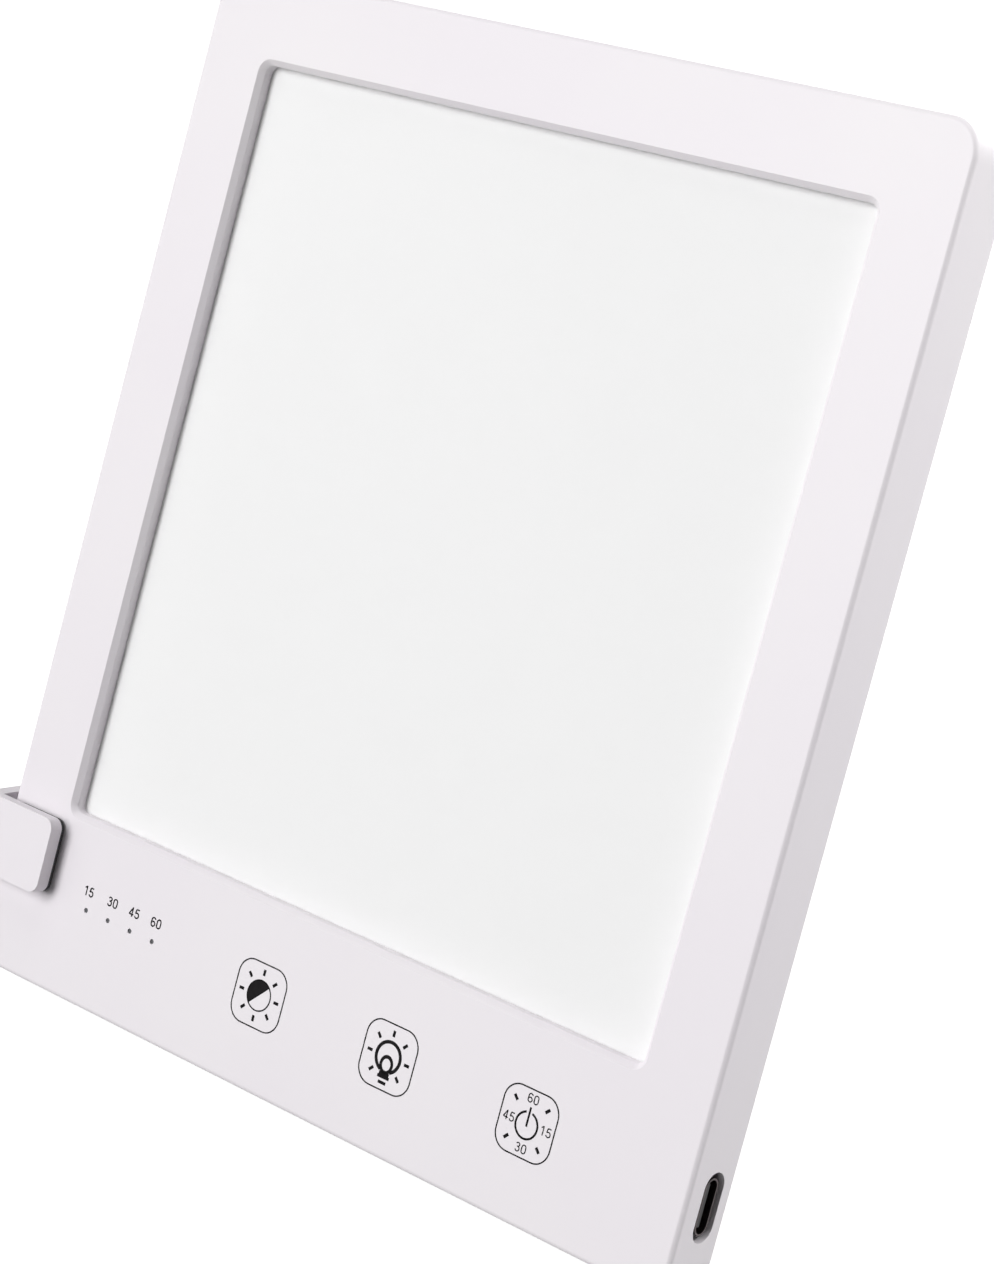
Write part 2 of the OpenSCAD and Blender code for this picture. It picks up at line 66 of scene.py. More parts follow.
panelTurn = leanFrame()
panelPlace = panelTurn @ Matrix.Scale(mm, 4)


# An sRGB code as the linear, opaque colour that a socket takes
def hexColour(code):
    parts = [int(code[i:i + 2], 16) / 255 for i in (1, 3, 5)]
    return [p / 12.92 if p <= 0.04045 else ((p + 0.055) / 1.055) ** 2.4 for p in parts] + [1.0]


def addNode(tree, kind, settings=None, links=None):
    node = tree.nodes.new(kind)
    for name, value in (settings or {}).items():
        setattr(node, name, value)
    for socket, source in (links or {}).items():
        if isinstance(source, bpy.types.NodeSocket):
            tree.links.new(source, node.inputs[socket])
        else:
            node.inputs[socket].default_value = source
    return node


def rampBetween(tree, factor, stops):
    ramp = addNode(tree, "ShaderNodeValToRGB", links={"Fac": factor})
    marks = ramp.color_ramp.elements
    while len(marks) < len(stops):
        marks.new(0.5)
    for mark, (place, code) in zip(marks, stops):
        mark.position = place
        mark.color = hexColour(code)
    return ramp.outputs["Color"]


def spread(tree, factor, low, high):
    span = addNode(tree, "ShaderNodeMapRange", links={"Value": factor, "To Min": low, "To Max": high})
    return span.outputs["Result"]


noise = {"driftDetail": 2.0, "grainDetail": 3.0, "grainRoughness": 0.6,
         "firstShade": 0.32, "secondShade": 0.68}  # where each shade lies in the drift
waveLength = math.tau / 20  # of the wave texture at a scale of one


# A principled surface whose colour drifts between two shades, with a grain in its gloss and its relief
def grainedSurface(name, look):
    material = bpy.data.materials.new(name)
    material.use_nodes = True
    tree = material.node_tree
    tree.nodes.clear()
    laid = addNode(tree, "ShaderNodeMapping", links={
        "Vector": addNode(tree, "ShaderNodeTexCoord").outputs["Object"],
        "Rotation": (math.radians(panel["lean"] - 90), 0, 0)})
    place = laid.outputs["Vector"]
    drift = addNode(tree, "ShaderNodeTexNoise", links={
        "Vector": place, "Scale": 1 / (look["driftSize"] * mm), "Detail": noise["driftDetail"]})
    grain = addNode(tree, "ShaderNodeTexNoise", links={
        "Vector": place, "Scale": 1 / (look["grainSize"] * mm), "Detail": noise["grainDetail"],
        "Roughness": noise["grainRoughness"]})
    shades = [(noise["firstShade"], look["shades"][0]), (noise["secondShade"], look["shades"][1])]
    shader = addNode(tree, "ShaderNodeBsdfPrincipled", links={
        "Base Color": rampBetween(tree, drift.outputs["Fac"], shades),
        "Roughness": spread(tree, grain.outputs["Fac"], look["gloss"][0], look["gloss"][1]),
        "IOR": look["ior"],
        "Metallic": look.get("metallic", 0.0),
    })
    relief = addNode(tree, "ShaderNodeBump", links={
        "Height": grain.outputs["Fac"], "Strength": look["relief"], "Distance": look["reliefDepth"] * mm})
    tree.links.new(relief.outputs["Normal"], shader.inputs["Normal"])
    addNode(tree, "ShaderNodeOutputMaterial", links={"Surface": shader.outputs["BSDF"]})
    return {"material": material, "tree": tree, "place": place, "shader": shader, "relief": relief,
            "grain": grain}


# Moulded ABS off a spark-eroded tool: satin white with a faint lilac cast
def mouldedAbs():
    made = grainedSurface("moulded_abs", {
        "shades": ("#e8e3e8", "#eae6e9"), "driftSize": 55, "grainSize": 0.35,
        "gloss": (0.40, 0.50), "ior": 1.53, "relief": 0.18, "reliefDepth": 0.02})
    return made["material"]


# Opal cast acrylic, matted on its outer face
def opalAcrylic():
    made = grainedSurface("opal_acrylic", {
        "shades": ("#f6f6f6", "#f8f8f8"), "driftSize": 70, "grainSize": 0.25,
        "gloss": (0.6, 0.7), "ior": 1.49, "relief": 0.08, "reliefDepth": 0.01})
    made["shader"].inputs["Subsurface Weight"].default_value = 0.6
    made["shader"].inputs["Subsurface Radius"].default_value = (1.0, 1.0, 1.0)
    made["shader"].inputs["Subsurface Scale"].default_value = 2.0 * mm
    return made["material"]


# Screen-printed epoxy ink, near black and matt, with the slight mottle of a thin coat
def screenInk():
    made = grainedSurface("screen_ink", {
        "shades": ("#0e0c0e", "#181618"), "driftSize": 1.2, "grainSize": 0.12,
        "gloss": (0.6, 0.75), "ior": 1.55, "relief": 0.1, "reliefDepth": 0.005})
    made["shader"].inputs["Specular IOR Level"].default_value = 0.06  # its matting powder scatters the gloss
    return made["material"]


# Moulded thermoplastic rubber: dark grey, matt, with a talc bloom
def mouldedRubber():
    made = grainedSurface("moulded_rubber", {
        "shades": ("#262527", "#343335"), "driftSize": 3, "grainSize": 0.2,
        "gloss": (0.68, 0.85), "ior": 1.52, "relief": 0.35, "reliefDepth": 0.03})
    return made["material"]


# Clear liquid silicone, slightly milky, with the satin skin of its mould
def clearSilicone():
    made = grainedSurface("clear_silicone", {
        "shades": ("#e6e7e9", "#eeeff0"), "driftSize": 6, "grainSize": 0.3,
        "gloss": (0.18, 0.3), "ior": 1.41, "relief": 0.06, "reliefDepth": 0.01})
    made["shader"].inputs["Transmission Weight"].default_value = 0.75
    return made["material"]


# Nickel-plated steel, drawn: bright, with fine lines
def nickelSteel():
    made = grainedSurface("nickel_plated_steel", {
        "shades": ("#b7b5b0", "#c9c8c4"), "driftSize": 2, "grainSize": 0.15,
        "gloss": (0.2, 0.34), "ior": 1.5, "metallic": 1.0, "relief": 0.1, "reliefDepth": 0.004})
    return made["material"]


# Nickel of the inlet's shell, darkened to a dark grey: painted shade for the depth of the inlet, where little
# light reaches
def blackNickel():
    made = grainedSurface("painted_shade_nickel", {
        "shades": ("#453f40", "#524b4b"), "driftSize": 1.5, "grainSize": 0.12,
        "gloss": (0.22, 0.36), "ior": 1.5, "metallic": 1.0, "relief": 0.08, "reliefDepth": 0.004})
    return made["material"]


# Mill-finish aluminium sheet, with the rolling direction up the panel
def millAluminium():
    made = grainedSurface("mill_aluminium", {
        "shades": ("#bfc1c4", "#d0d2d4"), "driftSize": 12, "grainSize": 0.2,
        "gloss": (0.3, 0.45), "ior": 1.5, "metallic": 1.0, "relief": 0.06, "reliefDepth": 0.004})
    rolled = addNode(made["tree"], "ShaderNodeMapping", links={"Vector": made["place"]})
    rolled.inputs["Scale"].default_value = (1.0, 0.02, 1.0)  # the grain is drawn out 50 times
    made["tree"].links.new(rolled.outputs["Vector"], made["grain"].inputs["Vector"])
    return made["material"]


# Polished clear acrylic with the printed dots that let the light out
lightDots = {"pitch": 1.6, "wander": 0.15, "edge": (0.28, 0.34)}  # the edge in parts of the pitch


def dottedAcrylic():
    made = grainedSurface("dotted_acrylic", {
        "shades": ("#dfeaec", "#e9f1f2"), "driftSize": 30, "grainSize": 0.6,
        "gloss": (0.04, 0.1), "ior": 1.49, "relief": 0.02, "reliefDepth": 0.002})
    tree = made["tree"]
    made["shader"].inputs["Transmission Weight"].default_value = 0.7
    dots = addNode(tree, "ShaderNodeTexVoronoi", {"feature": "F1"}, {
        "Vector": made["place"], "Scale": 1 / (lightDots["pitch"] * mm), "Randomness": lightDots["wander"]})
    ink = addNode(tree, "ShaderNodeMapRange", links={
        "Value": dots.outputs["Distance"], "From Min": lightDots["edge"][0], "From Max": lightDots["edge"][1],
        "To Min": 1.0, "To Max": 0.0})
    mixed = addNode(tree, "ShaderNodeMix", {"data_type": "RGBA"}, {
        "Factor": ink.outputs["Result"], "B": hexColour("#fbfcfc")})
    tree.links.new(made["shader"].inputs["Base Color"].links[0].from_socket, mixed.inputs["A"])
    tree.links.new(mixed.outputs["Result"], made["shader"].inputs["Base Color"])
    return made["material"]


# Clear polyester film embossed with fine prisms across the panel
prismPitch = 0.7791  # mm as drawn, where the real pitch is 0.05


def prismFilm():
    made = grainedSurface("prism_film", {
        "shades": ("#dde3e6", "#e8edef"), "driftSize": 40, "grainSize": 0.5,
        "gloss": (0.12, 0.2), "ior": 1.58, "relief": 0.3, "reliefDepth": 0.05})
    tree = made["tree"]
    made["shader"].inputs["Transmission Weight"].default_value = 0.5
    prisms = addNode(tree, "ShaderNodeTexWave", {"bands_direction": "Y", "wave_profile": "TRI"}, {
        "Vector": made["place"], "Scale": waveLength / (prismPitch * mm)})
    tree.links.new(prisms.outputs["Fac"], made["relief"].inputs["Height"])
    return made["material"]


# Voided white polyester, which reflects like paper
def whiteFilm():
    return grainedSurface("white_polyester", {
        "shades": ("#f4f5f5", "#fafafa"), "driftSize": 20, "grainSize": 0.3,
        "gloss": (0.3, 0.4), "ior": 1.58, "relief": 0.05, "reliefDepth": 0.005})["material"]


# Epoxy glass laminate under green solder mask, with its tracks showing as raised lines
boardTracks = {"patch": 9, "shift": 0.37, "squash": 0.6,  # four rows of tracks to a patch
               "width": 0.03, "softness": 0.2}


def solderMask():
    made = grainedSurface("solder_mask", {
        "shades": ("#14492b", "#1b5733"), "driftSize": 8, "grainSize": 0.3,
        "gloss": (0.25, 0.36), "ior": 1.55, "relief": 0.4, "reliefDepth": 0.03})
    tree = made["tree"]
    tracks = addNode(tree, "ShaderNodeTexBrick", {
        "offset": boardTracks["shift"], "squash": boardTracks["squash"]}, {
        "Vector": made["place"], "Scale": 1 / (boardTracks["patch"] * mm),
        "Mortar Size": boardTracks["width"], "Mortar Smooth": boardTracks["softness"],
        "Color1": hexColour("#17502f"), "Color2": hexColour("#194f30"), "Mortar": hexColour("#2e7a4a")})
    tree.links.new(tracks.outputs["Color"], made["shader"].inputs["Base Color"])
    tree.links.new(tracks.outputs["Fac"], made["relief"].inputs["Height"])
    return made["material"]


# Epoxy moulding compound of a chip or an inlet's tongue
def blackEpoxy():
    return grainedSurface("black_epoxy", {
        "shades": ("#1b1b1c", "#252526"), "driftSize": 1.5, "grainSize": 0.1,
        "gloss": (0.45, 0.6), "ior": 1.55, "relief": 0.2, "reliefDepth": 0.01})["material"]


# Sintered ferrite: a dense grey ceramic
def sinteredFerrite():
    return grainedSurface("sintered_ferrite", {
        "shades": ("#3a3a3c", "#4b4b4d"), "driftSize": 1.2, "grainSize": 0.15,
        "gloss": (0.5, 0.7), "ior": 1.7, "relief": 0.3, "reliefDepth": 0.02})["material"]


# Fired tan ceramic of a chip capacitor
def firedCeramic():
    return grainedSurface("fired_ceramic", {
        "shades": ("#9c7c52", "#b08f62"), "driftSize": 0.8, "grainSize": 0.1,
        "gloss": (0.4, 0.55), "ior": 1.6, "relief": 0.15, "reliefDepth": 0.01})["material"]


# Natural nylon: slightly yellow and waxy
def naturalNylon():
    made = grainedSurface("natural_nylon", {
        "shades": ("#e6dfca", "#efe9d8"), "driftSize": 2, "grainSize": 0.2,
        "gloss": (0.38, 0.5), "ior": 1.53, "relief": 0.12, "reliefDepth": 0.01})
    made["shader"].inputs["Subsurface Weight"].default_value = 0.2
    made["shader"].inputs["Subsurface Scale"].default_value = 0.5 * mm
    return made["material"]


# Extruded PVC insulation of a lead
def leadInsulation():
    return grainedSurface("pvc_insulation", {
        "shades": ("#9c1f1c", "#b32a24"), "driftSize": 3, "grainSize": 0.3,
        "gloss": (0.3, 0.42), "ior": 1.54, "relief": 0.08, "reliefDepth": 0.01})["material"]


# Silicone with yellow phosphor over a light-emitting chip
def phosphorSilicone():
    made = grainedSurface("phosphor_silicone", {
        "shades": ("#e8c950", "#f2d96c"), "driftSize": 0.6, "grainSize": 0.08,
        "gloss": (0.3, 0.45), "ior": 1.43, "relief": 0.15, "reliefDepth": 0.005})
    made["shader"].inputs["Subsurface Weight"].default_value = 0.25
    made["shader"].inputs["Subsurface Scale"].default_value = 0.3 * mm
    return made["material"]


# White solder mask of a narrow strip, with a gold pad at each step
goldPads = {"pitch": 5.195, "edge": (0.9, 0.93)}  # the edge in parts of a wave's height


def stripMask():
    made = grainedSurface("strip_mask", {
        "shades": ("#eeeee9", "#f4f4f0"), "driftSize": 5, "grainSize": 0.2,
        "gloss": (0.3, 0.4), "ior": 1.55, "relief": 0.1, "reliefDepth": 0.01})
    tree = made["tree"]
    pads = addNode(tree, "ShaderNodeTexWave", {"bands_direction": "Y"}, {
        "Vector": made["place"], "Scale": waveLength / (goldPads["pitch"] * mm)})
    edge = addNode(tree, "ShaderNodeMapRange", links={
        "Value": pads.outputs["Fac"], "From Min": goldPads["edge"][0], "From Max": goldPads["edge"][1]})
    mixed = addNode(tree, "ShaderNodeMix", {"data_type": "RGBA"}, {
        "Factor": edge.outputs["Result"], "B": hexColour("#c9a659")})
    tree.links.new(made["shader"].inputs["Base Color"].links[0].from_socket, mixed.inputs["A"])
    tree.links.new(mixed.outputs["Result"], made["shader"].inputs["Base Color"])
    return made["material"]


# Cross-linked polyethylene foam: matt, with closed cells
foamCell = 0.5  # mm


def closedFoam():
    made = grainedSurface("closed_cell_foam", {
        "shades": ("#303033", "#3e3e42"), "driftSize": 2, "grainSize": 0.4,
        "gloss": (0.85, 0.95), "ior": 1.5, "relief": 0.8, "reliefDepth": 0.15})
    tree = made["tree"]
    cells = addNode(tree, "ShaderNodeTexVoronoi", {"feature": "DISTANCE_TO_EDGE"}, {
        "Vector": made["place"], "Scale": 1 / (foamCell * mm)})
    tree.links.new(cells.outputs["Distance"], made["relief"].inputs["Height"])
    return made["material"]


# Clear acrylic tinted with smoke, polished at the tips of its pins
def smokedAcrylic():
    made = grainedSurface("smoked_acrylic", {
        "shades": ("#4a4c50", "#56585d"), "driftSize": 4, "grainSize": 0.3,
        "gloss": (0.12, 0.2), "ior": 1.49, "relief": 0.03, "reliefDepth": 0.003})
    made["shader"].inputs["Transmission Weight"].default_value = 0.3
    return made["material"]


# Rolled brass of a spring washer
def rolledBrass():
    return grainedSurface("rolled_brass", {
        "shades": ("#c39a52", "#d2ad66"), "driftSize": 1.5, "grainSize": 0.1,
        "gloss": (0.22, 0.36), "ior": 1.5, "metallic": 1.0, "relief": 0.1, "reliefDepth": 0.004})["material"]


# Gold flash on the inlet's contacts
def goldFlash():
    return grainedSurface("gold_flash", {
        "shades": ("#d8b25a", "#e3c074"), "driftSize": 0.5, "grainSize": 0.06,
        "gloss": (0.16, 0.26), "ior": 1.5, "metallic": 1.0, "relief": 0.05, "reliefDepth": 0.002})["material"]


finishes = {
    "abs": mouldedAbs(), "opal": opalAcrylic(), "ink": screenInk(), "rubber": mouldedRubber(),
    "steel": nickelSteel(), "aluminium": millAluminium(), "guide": dottedAcrylic(), "prism": prismFilm(),
    "whiteFilm": whiteFilm(), "board": solderMask(), "epoxy": blackEpoxy(), "ferrite": sinteredFerrite(),
    "ceramic": firedCeramic(), "nylon": naturalNylon(), "insulation": leadInsulation(),
    "phosphor": phosphorSilicone(), "strip": stripMask(), "foam": closedFoam(), "smoke": smokedAcrylic(),
    "brass": rolledBrass(), "gold": goldFlash(), "silicone": clearSilicone(), "blackNickel": blackNickel(),
}
print("finishes made:", len(finishes))

# CAD nodes that show their own solid, and the finish of each
nodeFinishes = {
    "diffuser": "opal", "prism_film": "prism", "light_guide": "guide", "reflector_film": "whiteFilm",
    "light_tray": "aluminium", "led_strip_left": "strip", "led_strip_right": "strip",
    "leds_left": "phosphor", "leds_right": "phosphor", "foam_strips": "foam", "main_board": "board",
    # the inlet's shell takes the darkened nickel that paints the shade inside the inlet
    "usb_shell": "blackNickel", "usb_insert": "epoxy", "controller": "epoxy", "inductor": "ferrite",
    "driver_chips": "epoxy", "capacitors": "ceramic", "strip_sockets": "nylon",
    "strip_leads": "insulation", "indicator_leds": "phosphor", "light_pipes": "smoke",
    "touch_pads": "foam", "board_screws": "steel", "case_screws": "steel", "hinge_pins": "steel",
    "hinge_washers": "brass",
}
for name, finish in nodeFinishes.items():
    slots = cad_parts[name].data.materials
    slots.clear()
    slots.append(finishes[finish])
print("nodes finished:", len(nodeFinishes))


def keepPiece(bm, name, body, finish):
    mesh = bpy.data.meshes.new(name)
    bm.to_mesh(mesh)
    bm.free()
    mesh.materials.append(finishes[finish])
    piece = bpy.data.objects.new(name, mesh)
    bpy.context.scene.collection.objects.link(piece)
    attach(piece, body)
    return piece


# A moulded piece over its solid: the copy is welded, its flat faces joined and its sharp edges eased
moulded = {
    "front_shell": {"piece": "moulded_front", "body": "panel", "ease": 0.12, "finish": "abs",
                    "slot": "shell_plastic"},
    "back_cover": {"piece": "moulded_back", "body": "panel", "ease": 0.2, "finish": "abs",
                   "slot": "shell_plastic"},
    "stand_bracket": {"piece": "moulded_bracket", "body": "bracket", "ease": 0.3, "finish": "abs",
                      "slot": "stand_plastic"},
    "hook_pad": {"piece": "moulded_hook_pad", "body": "bracket", "ease": 0.15, "finish": "rubber",
                 "slot": "dark_rubber"},
    "base_feet": {"piece": "moulded_feet", "body": "panel", "ease": 0.15, "finish": "silicone",
                  "slot": "clear_silicone"},
    "prop_leg": {"piece": "moulded_leg", "body": "leg", "ease": 0.25, "finish": "abs",
                 "slot": "stand_plastic"},
    "leg_foot": {"piece": "moulded_leg_pad", "body": "leg", "ease": 0.3, "finish": "rubber",
                 "slot": "dark_rubber"},
}
weldGap = 0.002      # mm
flatAngle = 0.5      # degrees between faces that count as one flat face
sharpAngle = 40.0    # degrees from which an edge is eased
shortEdge = 0.06     # mm, under which it isn't, as round the small holes
easeSteps = 2        # faces across an eased edge
creaseAngle = 50.0   # degrees from which an edge stays a crease in the shading
flatArea = 25.0      # mm2 that faces of one direction need in all to be shaded flat


# Shades the faces of a direction flat where they add up to a wide flat, and the rest as curves
def shadeFaces(bm):
    byDirection = {}
    for face in bm.faces:
        direction = tuple(round(part, 3) for part in face.normal)
        byDirection.setdefault(direction, []).append(face)
    for group in byDirection.values():
        curved = sum(face.calc_area() for face in group) < flatArea * mm * mm
        for face in group:
            face.smooth = curved
    for edge in bm.edges:
        edge.smooth = len(edge.link_faces) == 2 and edge.calc_face_angle(0) < math.radians(creaseAngle)


def mouldedCopy(nodeName, settings):
    bm = bmesh.new()
    bm.from_mesh(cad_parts[nodeName].data)
    bmesh.ops.remove_doubles(bm, verts=bm.verts, dist=weldGap * mm)
    bmesh.ops.dissolve_limit(bm, angle_limit=math.radians(flatAngle), verts=bm.verts, edges=bm.edges)
    sharp = [e for e in bm.edges if len(e.link_faces) == 2 and e.calc_length() > shortEdge * mm
             and e.calc_face_angle(0) > math.radians(sharpAngle)]
    bmesh.ops.bevel(bm, geom=sharp, affect="EDGES", offset=settings["ease"] * mm, offset_type="OFFSET",
                    segments=easeSteps, profile=0.5, material=-1, clamp_overlap=True)
    shadeFaces(bm)
    bmesh.ops.triangulate(bm, faces=[f for f in bm.faces if len(f.verts) > 4])
    piece = keepPiece(bm, settings["piece"], settings["body"], settings["finish"])
    solidNormals = piece.data.attributes.get("custom_normal")
    if solidNormals:
        piece.data.attributes.remove(solidNormals)  # they belong to the solid before its edges were eased
    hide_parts(nodeName)
    return piece


for nodeName, settings in moulded.items():
    piece = mouldedCopy(nodeName, settings)
    print("moulded", piece.name, len(piece.data.polygons))


marks = {
    "ink": 0.03,            # thickness of the print
    "keySide": 10.7, "keyCorner": 2.9, "keyStroke": 0.22,
    "keyX": (-11.65, 16.5, 44.65), "keyY": 15.5,
    "tick": (1.0, 0.5), "tickAt": 3.82,  # length and width, and the distance of its middle
    "cornerSteps": 14, "discSteps": 48,
    "arcStep": 8, "arcLeast": 6,         # degrees in a step of an arc, and its least steps
}


def placedMark(bm, verts, x, y, turn=0.0):
    spot = Matrix.Translation((x, y, 0)) @ Matrix.Rotation(math.radians(turn), 4, "Z")
    bmesh.ops.transform(bm, matrix=spot, verts=verts)


def addBar(bm, length, width, x, y, turn):
    made = bmesh.ops.create_grid(bm, x_segments=1, y_segments=1, size=0.5)["verts"]
    bmesh.ops.scale(bm, vec=(length, width, 1), verts=made)
    placedMark(bm, made, x, y, turn)


# A stroke swept round part of a circle, from one angle through a sweep, in degrees
def addArc(bm, radius, stroke, start, sweep, x, y, tall=1.0):
    inner = bm.verts.new((radius - stroke / 2, 0, 0))
    outer = bm.verts.new((radius + stroke / 2, 0, 0))
    edge = bm.edges.new((inner, outer))
    bmesh.ops.rotate(bm, cent=(0, 0, 0), matrix=Matrix.Rotation(math.radians(start), 3, "Z"),
                     verts=[inner, outer])
    before = set(bm.verts) - {inner, outer}
    bmesh.ops.spin(bm, geom=[inner, outer, edge], cent=(0, 0, 0), axis=(0, 0, 1), dvec=(0, 0, 0),
                   angle=math.radians(sweep), steps=max(marks["arcLeast"], int(sweep / marks["arcStep"])),
                   use_merge=sweep >= 360)
    arc = [v for v in bm.verts if v not in before]
    bmesh.ops.scale(bm, vec=(1, tall, 1), verts=arc)
    placedMark(bm, arc, x, y)


def addOutline(bm, side, corner, stroke, x, y):
    made = bmesh.ops.create_grid(bm, x_segments=1, y_segments=1, size=side / 2)["verts"]
    before = set(bm.faces) - {made[0].link_faces[0]}
    bmesh.ops.bevel(bm, geom=made, affect="VERTICES", offset=corner, offset_type="OFFSET",
                    segments=marks["cornerSteps"], profile=0.5, material=-1)
    face = [f for f in bm.faces if f not in before]
    bmesh.ops.inset_region(bm, faces=face, thickness=stroke, use_even_offset=True, use_boundary=True)
    bmesh.ops.delete(bm, geom=face, context="FACES")
    ring = [v for f in bm.faces if f not in before for v in f.verts]
    placedMark(bm, list(set(ring)), x, y)


def addHalfDisc(bm, radius, turn, x, y):
    made = bmesh.ops.create_circle(bm, cap_ends=True, segments=marks["discSteps"], radius=radius)["verts"]
    disc = made + made[0].link_faces[:] + list({e for v in made for e in v.link_edges})
    cut = bmesh.ops.bisect_plane(bm, geom=disc, plane_co=(0, 0, 0), plane_no=(0, -1, 0), clear_outer=True)
    kept = [v for v in made if v.is_valid] + [g for g in cut["geom_cut"] if isinstance(g, bmesh.types.BMVert)]
    placedMark(bm, list(set(kept)), x, y, turn)


# Numerals of plain strokes, one unit tall. A bar runs from point to point, and an arc has its centre,
# radius, start and sweep.
numerals = {
    "step": 0.78,
    "0": {"bars": [(-0.25, 0.31, -0.25, 0.69), (0.25, 0.31, 0.25, 0.69)],
          "arcs": [(0, 0.31, 0.25, 180, 180), (0, 0.69, 0.25, 0, 180)]},
    "1": {"bars": [(0.08, 0, 0.08, 1), (0.06, 0.96, -0.19, 0.75)], "arcs": []},
    "3": {"bars": [(-0.09, 0.545, 0.02, 0.545)],
          "arcs": [(-0.01, 0.3, 0.245, -165, 255), (-0.01, 0.742, 0.2, -90, 255)]},
    "4": {"bars": [(0.12, 0, 0.12, 1), (-0.31, 0.25, 0.3, 0.25), (-0.27, 0.28, 0.1, 0.94)], "arcs": []},
    "5": {"bars": [(-0.17, 0.942, 0.25, 0.942), (-0.16, 0.93, -0.22, 0.49)],
          "arcs": [(-0.01, 0.325, 0.265, -160, 300)]},
    "6": {"bars": [(-0.25, 0.31, -0.25, 0.66)],
          "arcs": [(0, 0.31, 0.25, 0, 360), (0.01, 0.68, 0.26, 25, 155)]},
}


def addNumeral(bm, digit, height, weight, x, y):
    for x1, y1, x2, y2 in numerals[digit]["bars"]:
        along = Vector((x2 - x1, y2 - y1)) * height
        addBar(bm, along.length, weight, x + (x1 + x2) / 2 * height, y + (y1 + y2) / 2 * height,
               math.degrees(math.atan2(along.y, along.x)))
    for right, up, radius, start, sweep in numerals[digit]["arcs"]:
        addArc(bm, radius * height, weight, start, sweep, x + right * height, y + up * height)


def addNumber(bm, number, height, weight, x, y):
    digits = str(number)
    left = x - (len(digits) - 1) / 2 * numerals["step"] * height
    for i, digit in enumerate(digits):
        addNumeral(bm, digit, height, weight, left + i * numerals["step"] * height, y - height / 2)


# Raises the flat marks to the thickness of the ink and lays them on the face
def printedPiece(bm, name):
    bmesh.ops.remove_doubles(bm, verts=bm.verts, dist=weldGap)
    bmesh.ops.recalc_face_normals(bm, faces=bm.faces)
    down = [f for f in bm.faces if f.normal.z < 0]
    bmesh.ops.reverse_faces(bm, faces=down)
    base = bm.faces[:]
    raised = bmesh.ops.extrude_face_region(bm, geom=base, use_keep_orig=True)["geom"]
    top = [v for v in raised if isinstance(v, bmesh.types.BMVert)]
    bmesh.ops.translate(bm, vec=(0, 0, marks["ink"]), verts=top)
    bmesh.ops.reverse_faces(bm, faces=base)
    bmesh.ops.transform(bm, matrix=panelPlace @ Matrix.Translation((0, 0, panel["front"])), verts=bm.verts)
    bmesh.ops.recalc_face_normals(bm, faces=bm.faces)
    return keepPiece(bm, name, "panel", "ink")


def addTicks(bm, angles, away, x, y):
    length, width = marks["tick"]
    for angle in angles:
        turn = math.radians(angle)
        addBar(bm, length, width, x + away * math.cos(turn), y + away * math.sin(turn), angle)


# Brightness: a disc half black, with eight rays
dimmer = {"disc": 2.6, "rim": 0.23, "rays": [45 * i for i in range(8)], "tilt": 45}


def dimmerKey(x, y):
    bm = bmesh.new()
    addOutline(bm, marks["keySide"], marks["keyCorner"], marks["keyStroke"], x, y)
    addTicks(bm, dimmer["rays"], marks["tickAt"], x, y)
    addArc(bm, dimmer["disc"] - dimmer["rim"] / 2, dimmer["rim"], 0, 360, x, y)
    addHalfDisc(bm, dimmer["disc"] - dimmer["rim"] / 2, dimmer["tilt"], x, y)
    return printedPiece(bm, "dimmer_key_print")


# Lamp: a bulb open at its neck, with its filament loop, a cap of two turns and a contact, and seven rays
bulb = {
    "rays": [-45 + 45 * i for i in range(7)],
    "glass": 2.41, "glassStroke": 0.57, "glassFrom": -66, "glassSweep": 312,
    "loop": 1.1, "loopStroke": 0.52, "loopTall": 1.14, "loopDrop": 1.22,
    "cap": [(2.0, 0.62, 2.72), (2.4, 0.5, 3.22), (1.55, 0.5, 4.12)],  # width, height, drop
}


def lampKey(x, y):
    bm = bmesh.new()
    addOutline(bm, marks["keySide"], marks["keyCorner"], marks["keyStroke"], x, y)
    addTicks(bm, bulb["rays"], marks["tickAt"], x, y)
    addArc(bm, bulb["glass"], bulb["glassStroke"], bulb["glassFrom"], bulb["glassSweep"], x, y)
    addArc(bm, bulb["loop"], bulb["loopStroke"], 0, 360, x, y - bulb["loopDrop"], bulb["loopTall"])
    for width, height, drop in bulb["cap"]:
        addBar(bm, width, height, x, y - drop, 0)
    return printedPiece(bm, "lamp_key_print")


# Power and timer: an open ring with its bar, and the minutes round it
timer = {
    "ring": 2.06, "stroke": 0.34, "drop": 0.28, "gapFrom": 75.5, "gapTo": 107,
    "bar": 3.06, "barUp": 1.33,
    "minutes": [(60, 0.02, 3.88), (15, 3.62, 0.08), (30, 0.06, -3.84), (45, -3.5, -0.04)],
    "tall": 1.48, "weight": 0.18, "ticks": [45, 135, 225, 315], "tickAt": 4.36,
}


def timerKey(x, y):
    bm = bmesh.new()
    addOutline(bm, marks["keySide"], marks["keyCorner"], marks["keyStroke"], x, y)
    addArc(bm, timer["ring"], timer["stroke"], timer["gapTo"], 360 + timer["gapFrom"] - timer["gapTo"],
           x, y - timer["drop"])
    addBar(bm, timer["stroke"], timer["bar"], x, y - timer["drop"] + timer["barUp"], 0)
    for number, right, up in timer["minutes"]:
        addNumber(bm, number, timer["tall"], timer["weight"], x + right, y + up)
    addTicks(bm, timer["ticks"], timer["tickAt"], x, y)
    return printedPiece(bm, "timer_key_print")


# Minutes over the four indicator holes
indicators = {"minutes": [(15, -53.0), (30, -47.15), (45, -41.9), (60, -36.7)], "y": 19.1, "tall": 1.64,
              "weight": 0.24}


def indicatorNumbers():
    bm = bmesh.new()
    for number, x in indicators["minutes"]:
        addNumber(bm, number, indicators["tall"], indicators["weight"], x, indicators["y"])
    return printedPiece(bm, "indicator_numbers_print")


